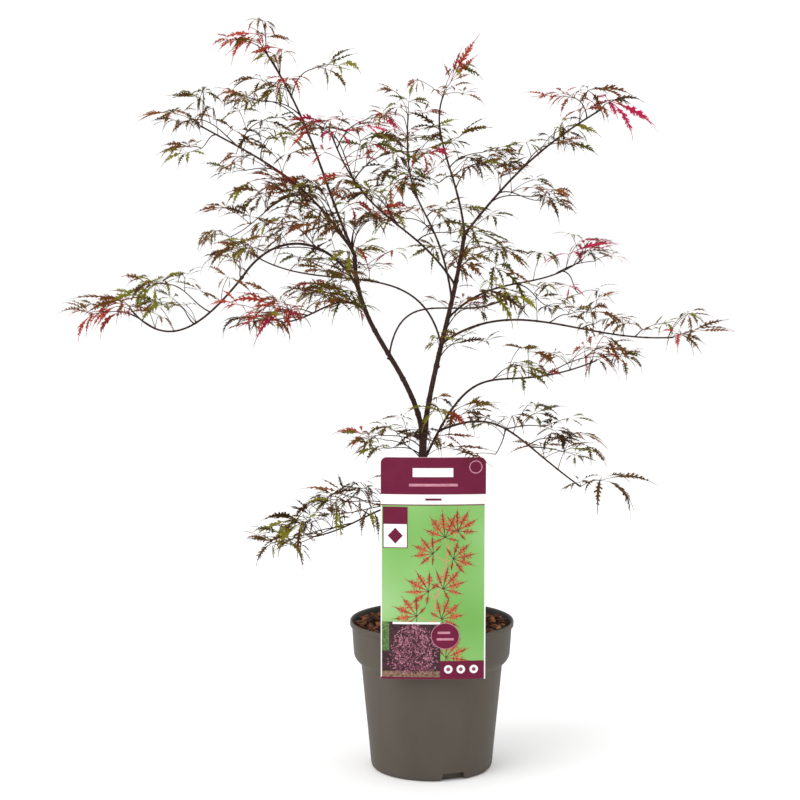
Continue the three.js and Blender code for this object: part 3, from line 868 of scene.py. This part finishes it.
notches = Heap()
for i in range(NOTCHES):
    notches.add(*cutter(FIRST_NOTCH + 360 / NOTCHES * i))
tool = notches.piece("notch_tool", [], "pot_plastic", smooth=False)
cut = pot_piece.modifiers.new("notches", "BOOLEAN")
cut.operation = "DIFFERENCE"
cut.solver = "EXACT"
cut.object = tool
graph = bpy.context.evaluated_depsgraph_get()
notched = bpy.data.meshes.new_from_object(pot_piece.evaluated_get(graph))
pot_piece.modifiers.clear()
pot_piece.data = notched
notched.set_sharp_from_angle(angle=math.radians(POT_SHARP))
bpy.data.objects.remove(tool)

# ---- Mulch ----

SOIL_STOPS = [(0.35, (0.006, 0.0035, 0.0025)), (0.65, (0.025, 0.012, 0.008))]
SOIL_LOOK = mottled("soil_look", SOIL_STOPS, 260, 0.9, 0.3, bump=0.8)
# name, darker colour, lighter colour, how often a chip has it
CHIPS = [
    ("chip_dark", (0.014, 0.005, 0.0025), (0.045, 0.016, 0.007), 8),
    ("chip_brown", (0.055, 0.016, 0.006), (0.13, 0.038, 0.012), 9),
    ("chip_orange", (0.14, 0.04, 0.011), (0.26, 0.082, 0.024), 3.5),
    ("chip_pale", (0.3, 0.13, 0.05), (0.42, 0.22, 0.1), 0.7),
]
CHIP_LOOKS = [
    mottled(name, [(0.35, darker), (0.65, lighter)], 220, 0.6, 0.15, bump=0.7)
    for name, darker, lighter, share in CHIPS
]
CHIP_COUNT = 560
# Chips lie out to this radius, but not on the trunk, and are smaller beyond the third radius.
MULCH_REACH, TRUNK_CLEAR, SMALL_BEYOND = 84.5, 9, 74


def soil_top(r):
    """The height of the low dome of mulch at radius r."""
    return 168.6 - 2.2 * (r / 88) ** 2


soil_outline = [(0, 12.6), (66, 12.6), (70.6, 40), (79.2, 123), (83, 128.6), (87.4, 135.4)]
rings = [(r, soil_top(r)) for r in range(87, 2, -2)]
points, faces = lathe(soil_outline + [(89.6, 165)] + rings + [(0, soil_top(0))], 120)
for p in points:
    if p[2] > 165.5 and math.hypot(p[0], p[1]) < 88.5:
        p[2] += 1.6 * noise.noise((p[0] / 5, p[1] / 5, 3.1))
        p[2] += 0.8 * noise.noise((p[0] / 2, p[1] / 2, 8.3))
soil = Heap()
soil.add(points, faces)
soil.piece("soil_bed", [SOIL_LOOK], "bark_mulch", ["soil"])


def chip(centre, length, width, thick, turn, slope, roll, paint):
    """A split bark chip: a slab with ragged ends and uneven faces."""
    ahead = heading(turn, slope)
    level = unit(np.cross(UP, ahead))
    beside = level * math.cos(roll) + np.cross(ahead, level) * math.sin(roll)
    over = np.cross(ahead, beside)
    rows = 5
    points = []
    for i in range(rows):
        x = (i / (rows - 1) - 0.5) * length
        taper = 1 - 0.55 * abs(2 * i / (rows - 1) - 1) ** 2.5
        for y, z in ((-1, -1), (1, -1), (1, 1), (0, 1.35), (-1, 1)):
            points.append(
                centre
                + ahead * (x + rng.uniform(-0.09, 0.09) * length)
                + beside * y * width / 2 * taper * rng.uniform(0.75, 1.1)
                + over * z * thick / 2 * rng.uniform(0.7, 1.2)
            )
    faces = []
    for i in range(rows - 1):
        for j in range(5):
            k = (j + 1) % 5
            a, b = 5 * i, 5 * (i + 1)
            faces += [(a + j, a + k, b + k), (a + j, b + k, b + j)]
    last = 5 * (rows - 1)
    faces += [(0, 2, 1), (0, 3, 2), (0, 4, 3)]
    faces += [(last, last + 1, last + 2), (last, last + 2, last + 3), (last, last + 3, last + 4)]
    mulch.add(points, faces, paint)


mulch = Heap()
for i in range(CHIP_COUNT):
    r = MULCH_REACH * math.sqrt(rng.random())
    if r < TRUNK_CLEAR:
        continue
    a = rng.uniform(0, 2 * math.pi)
    length = rng.uniform(9, 24) * (1 if r < SMALL_BEYOND else 0.65)
    middle = np.array([r * math.cos(a), r * math.sin(a), soil_top(r) + rng.uniform(0.2, 3.6)])
    width, thick = length * rng.uniform(0.24, 0.55), rng.uniform(1.4, 3.2)
    turn, slope, roll = rng.uniform(0, 360), rng.gauss(0, 14), rng.gauss(0, 0.35)
    paint = rng.choices(range(len(CHIPS)), [share for *_, share in CHIPS])[0]
    chip(middle, length, width, thick, turn, slope, roll, paint)
mulch.piece("bark_chips", CHIP_LOOKS, "bark_mulch", ["soil"], smooth=False)

# ---- Card ----

CARD_WIDTH, CARD_FOOT, CARD_HEIGHT = 117, 127, 251
CARD_FRONT, CARD_BEND, CARD_CORNER = -98.0, 900.0, 7
# The white margin left and right of the fields, and the thickness of a printed layer.
LEFT_MARGIN, RIGHT_MARGIN = 1.3, 1.6
INK = 0.16


def card_y(x, out):
    """The bowed card's front at x, or a layer that stands out from it."""
    return CARD_FRONT + x * x / CARD_BEND - out


def slab(outline, out, thick, paint):
    """A thin closed plate on the card. outline is (x, height) points, anticlockwise."""
    n = len(outline)
    mid_x, mid_z = np.mean(outline, 0)
    depths = (out, out - thick)
    points = [(x, card_y(x, depth), z) for depth in depths for x, z in outline]
    points += [(mid_x, card_y(mid_x, depth), mid_z) for depth in depths]
    faces = []
    for i in range(n):
        j = (i + 1) % n
        faces += [(2 * n, i, j), (2 * n + 1, n + j, n + i), (i, n + i, n + j), (i, n + j, j)]
    card.add(points, faces, paint)


def field(left, right, low, high, out, thick, paint, round_top=0):
    """A plate split into upright strips, so that it bends with the card."""
    count = max(1, round((right - left) / 4))
    xs = list(np.linspace(left, right, count + 1))
    if round_top:
        extra = [left + round_top * (1 - math.cos(a)) for a in np.linspace(0.25, 1.3, 5)]
        xs = sorted(set(xs + extra + [left + right - x for x in extra]))
    tops = []
    for x in xs:
        edge = min(x - left, right - x)
        if round_top and edge < round_top:
            rise = math.sqrt(max(0, round_top**2 - (round_top - edge) ** 2))
            tops.append(high - round_top + rise)
        else:
            tops.append(high)
    n = len(xs)
    points = []
    for depth in (out, out - thick):
        points += [(x, card_y(x, depth), low) for x in xs]
        points += [(x, card_y(x, depth), z) for x, z in zip(xs, tops)]
    faces = []
    for i in range(n - 1):
        a, b, c, d = i, i + 1, n + i + 1, n + i
        faces += [(a, b, c), (a, c, d)]
        e, f, g, h = a + 2 * n, b + 2 * n, c + 2 * n, d + 2 * n
        faces += [(e, g, f), (e, h, g), (a, e, f), (a, f, b), (d, c, g), (d, g, h)]
    faces += [(0, n, 3 * n), (0, 3 * n, 2 * n)]
    faces += [(n - 1, 3 * n - 1, 4 * n - 1), (n - 1, 4 * n - 1, 2 * n - 1)]
    card.add(points, faces, paint)


def disc(x, z, rx, rz, out, thick, paint, sides=28):
    turns = [2 * math.pi * i / sides for i in range(sides)]
    slab([(x + rx * math.cos(a), z + rz * math.sin(a)) for a in turns], out, thick, paint)



def ink(name, stops, scale, roughness=0.4, gloss=0.25, detail=6):
    return mottled(f"card_{name}", stops, scale, roughness, gloss, detail=detail)


GREENS = [(0.3, (0.13, 0.34, 0.06)), (0.5, (0.2, 0.42, 0.12)), (0.7, (0.34, 0.53, 0.25))]
CARD_LOOKS = [
    ink("white", [(0.3, (0.74, 0.73, 0.72)), (0.7, (0.8, 0.79, 0.78))], 40, 0.5, 0.15),
    ink("plum", [(0.3, (0.12, 0.01, 0.034)), (0.7, (0.14, 0.013, 0.041))], 40, 0.5, 0.08),
    ink("green", GREENS, 9, detail=1),
    ink("shade", [(0.35, (0.018, 0.006, 0.008)), (0.65, (0.06, 0.016, 0.026))], 300),
    ink("leaf", [(0.38, (0.2, 0.03, 0.01)), (0.54, (0.5, 0.12, 0.05))], 520, gloss=0.2),
    ink("pink", [(0.3, (0.42, 0.16, 0.22)), (0.7, (0.5, 0.22, 0.29))], 200),
    ink("mauve", [(0.3, (0.18, 0.05, 0.08)), (0.7, (0.26, 0.08, 0.12))], 200),
    ink("stalk", [(0.3, (0.45, 0.2, 0.1)), (0.7, (0.55, 0.3, 0.16))], 200),
    ink("moss", [(0.35, (0.03, 0.07, 0.015)), (0.65, (0.12, 0.22, 0.06))], 500),
    ink("earth", [(0.35, (0.09, 0.04, 0.02)), (0.65, (0.26, 0.16, 0.11))], 400),
]
WHITE, PLUM, GREEN, SHADE, SPRAY, PINK, MAUVE, STALK, MOSS, EARTH = range(10)
half = CARD_WIDTH / 2
foot, top = CARD_FOOT, CARD_FOOT + CARD_HEIGHT
left, right = LEFT_MARGIN - half, half - RIGHT_MARGIN
card = Heap()
field(-half, half, foot, top, 0, 0.9, WHITE, round_top=CARD_CORNER)
field(0.15 - half, half - 0.15, top - 41.5, top - 0.15, 0.12, INK, PLUM, round_top=6.5)
field(0.15 - half, right, top - 54, top - 52.8, 0.12, INK, PLUM)
field(left, right, foot + 0.6, top - 54, 0.12, INK, GREEN)

# Plain bars and shapes stand where such a card carries words and marks.
field(-23, 22, top - 22, top - 12, 0.24, 0.14, WHITE)
field(-27, 27, top - 32.5, top - 29.5, 0.24, 0.14, PINK)
field(-9, 9, top - 48.4, top - 46, 0.12, 0.14, PLUM)
disc(half - 11.5, top - 11, 7.4, 7.4, 0.24, 0.14, PINK)
disc(half - 11.5, top - 11, 6.2, 6.2, 0.34, 0.14, PLUM)
field(2.4 - half, 30 - half, top - 102, top - 55.5, 0.24, INK, PLUM)
field(3.3 - half, 29.1 - half, top - 101.1, top - 75, 0.36, 0.14, WHITE)
slab([(-42.3, top - 97), (-34, top - 88), (-42.3, top - 79), (-50.6, top - 88)], 0.46, 0.12, PLUM)


def card_line(x0, z0, x1, z1, wide, out, paint):
    """A printed line."""
    along = unit(np.array([x1 - x0, z1 - z0]))
    side = np.array([-along[1], along[0]]) * wide / 2
    corners = [(x0 - side[0], z0 - side[1]), (x1 - side[0], z1 - side[1])]
    corners += [(x1 + side[0], z1 + side[1]), (x0 + side[0], z0 + side[1])]
    slab(corners, out, 0.1, paint)


def card_leaf(x, z, turn, size, out):
    """A flat printed leaf, its lobes fanned out from (x, z)."""
    for spread, share in LOBE_TURNS:
        outline, faces = OUTLINES[rng.randrange(len(OUTLINES))]
        a = math.radians(turn + spread * 0.92)
        length = size * share
        u = outline[:, 0] * length
        v = outline[:, 1] * length * 1.8
        px = np.clip(x + u * math.cos(a) - v * math.sin(a), -half + 1.5, half - 1.8)
        pz = z + u * math.sin(a) + v * math.cos(a)
        card.add(np.stack([px, card_y(px, out + 0.01 * share), pz], 1), faces, SPRAY)
        end_x, end_z = x + 0.85 * length * math.cos(a), z + 0.85 * length * math.sin(a)
        card_line(x, z, min(half - 2.4, end_x), end_z, 0.55, out + 0.05, SHADE)


# (x, depth below the card's top, turn, size, x and depth where it leaves the stalk)
CARD_LEAVES = [
    (13, 90, 96, 33, 16, 104), (27, 83, 62, 29, 17, 104), (0, 108, 158, 27, 14, 118),
    (22, 114, 12, 29, 14, 118), (-5, 151, 152, 31, 3, 160), (11, 148, 48, 31, 3, 160),
    (-18, 179, 158, 31, 0, 186), (9, 182, 40, 30, 0, 186), (14, 226, 22, 30, 8, 232),
]
# (x, depth, x, depth, width) of each stretch of the stalk
CARD_STALK = [(0, 188, 3, 160, 1.5), (3, 160, 14, 118, 1.4), (14, 118, 17, 98, 1.2)]
for x0, depth0, x1, depth1, wide in CARD_STALK:
    card_line(x0, top - depth0, x1, top - depth1, wide, 0.2, STALK)
for x, depth, turn, size, from_x, from_depth in CARD_LEAVES:
    card_line(from_x, top - from_depth, x, top - depth, 0.9, 0.2, STALK)
    card_leaf(x, top - depth, turn, size, 0.24)

# The small picture of a grown bush: its foliage is a crowd of printed leaves over a dark ground.
# Each lies a hair further out than the last, so that no two share a plane.
BUSH_LEAVES = 1150
edge, low, high = 8, foot + 2.4, foot + 65.5
field(left, edge, low, high, 0.34, INK, SHADE)
field(left + 12, edge, high - 2.6, high - 0.1, 0.42, 0.1, WHITE)
field(left + 0.2, left + 8, low + 30, high - 0.1, 0.42, 0.1, MOSS)
field(left + 0.2, edge - 0.2, low + 0.1, low + 7, 0.42, 0.1, EARTH)
for i in range(BUSH_LEAVES):
    turn = rng.uniform(0, math.pi)
    reach = math.sqrt(rng.random())
    x = (left + edge) / 2 + 3 + 30 * reach * math.cos(turn) * rng.choice([0.7, 1])
    z = low + 4 + 57 * reach * math.sin(turn) ** 0.8
    if not left + 2.5 < x < edge - 2.2:
        continue
    long, wide, lean = rng.uniform(1.6, 3.8), rng.uniform(0.6, 1.3), rng.uniform(0, math.pi)
    a = np.array([math.cos(lean), math.sin(lean)]) * long / 2
    b = np.array([-math.sin(lean), math.cos(lean)]) * wide / 2
    middle = np.array([x, min(z, high - 2)])
    lit = rng.random() + 0.35 * reach
    paint = PINK if lit > 0.92 else MAUVE if lit > 0.4 else SHADE
    slab([tuple(middle + d) for d in (-a, -b, a, b)], 0.5 + 0.0001 * i, 0.06, paint)

# A round badge with two bars, and the foot band with three ringed discs.
disc(13.5, foot + 49.5, 16, 15, 0.7, 0.14, PINK)
disc(13.5, foot + 49.5, 15.3, 14.3, 0.78, 0.14, PLUM)
field(5, 19, foot + 52, foot + 54.6, 0.86, 0.1, PINK)
field(4, 23, foot + 44.6, foot + 47.2, 0.86, 0.1, PINK)
field(0.15 - half, edge, foot + 0.15, foot + 2.5, 0.5, INK, PLUM)
field(edge, right, foot + 0.15, foot + 21, 0.5, INK, PLUM)
for x in (17, 31, 45.5):
    disc(x, foot + 11.5, 4.8, 4.8, 0.58, 0.14, WHITE)
    disc(x, foot + 11.5, 2.2, 2.2, 0.66, 0.12, MAUVE)

# The tongue over the rim.
field(-17, 17, 174.8, 175.8, -0.9, 11.1, WHITE)
card.piece("printed_card", CARD_LOOKS, "card_print", ["plant_card"], smooth=False)

# ---- Studio ----

LOOKS_DOWN = 6.79
FLOOR_HALF = 40.0
FLOOR_GREY = 0.965
WORLD_LIGHT = 1.06
LAMPS_AIM = np.array([0, 0, 0.4])

floor_mesh = bpy.data.meshes.new("floor")
corners = [(x * FLOOR_HALF, y * FLOOR_HALF, 0) for x, y in ((-1, -1), (1, -1), (1, 1), (-1, 1))]
floor_mesh.from_pydata(corners, [], [(0, 1, 2, 3)])
floor_mesh.materials.append(shade("floor_look", (FLOOR_GREY,) * 3, 0.95, 0.05))
floor = bpy.data.objects.new("floor", floor_mesh)
scene.collection.objects.link(floor)

world = bpy.data.worlds.new("studio")
world.use_nodes = True
background = world.node_tree.nodes["Background"]
put(background, "Color", (1, 1, 1, 1))
put(background, "Strength", WORLD_LIGHT)
scene.world = world


def lamp(name, location, size, power):
    light = bpy.data.lights.new(name, "AREA")
    light.shape = "DISK"
    light.size = size
    light.energy = power
    obj = bpy.data.objects.new(name, light)
    obj.location = location
    aim = Vector(LAMPS_AIM - np.array(location))
    obj.rotation_euler = aim.to_track_quat("-Z", "Y").to_euler()
    scene.collection.objects.link(obj)


lamp("key", (-2.0, -1.8, 2.1), size=2.8, power=54)
lamp("fill", (2.0, -1.2, 1.6), size=1.8, power=2)

camera = bpy.data.objects.new("camera", bpy.data.cameras.new("camera"))
camera.location = (-0.037, -2.4, 0.716)
camera.rotation_euler = (math.radians(90 - LOOKS_DOWN), 0, 0)
camera.data.lens = 94.7
camera.data.sensor_width = 36
scene.collection.objects.link(camera)
scene.camera = camera
scene.view_settings.view_transform = "Standard"
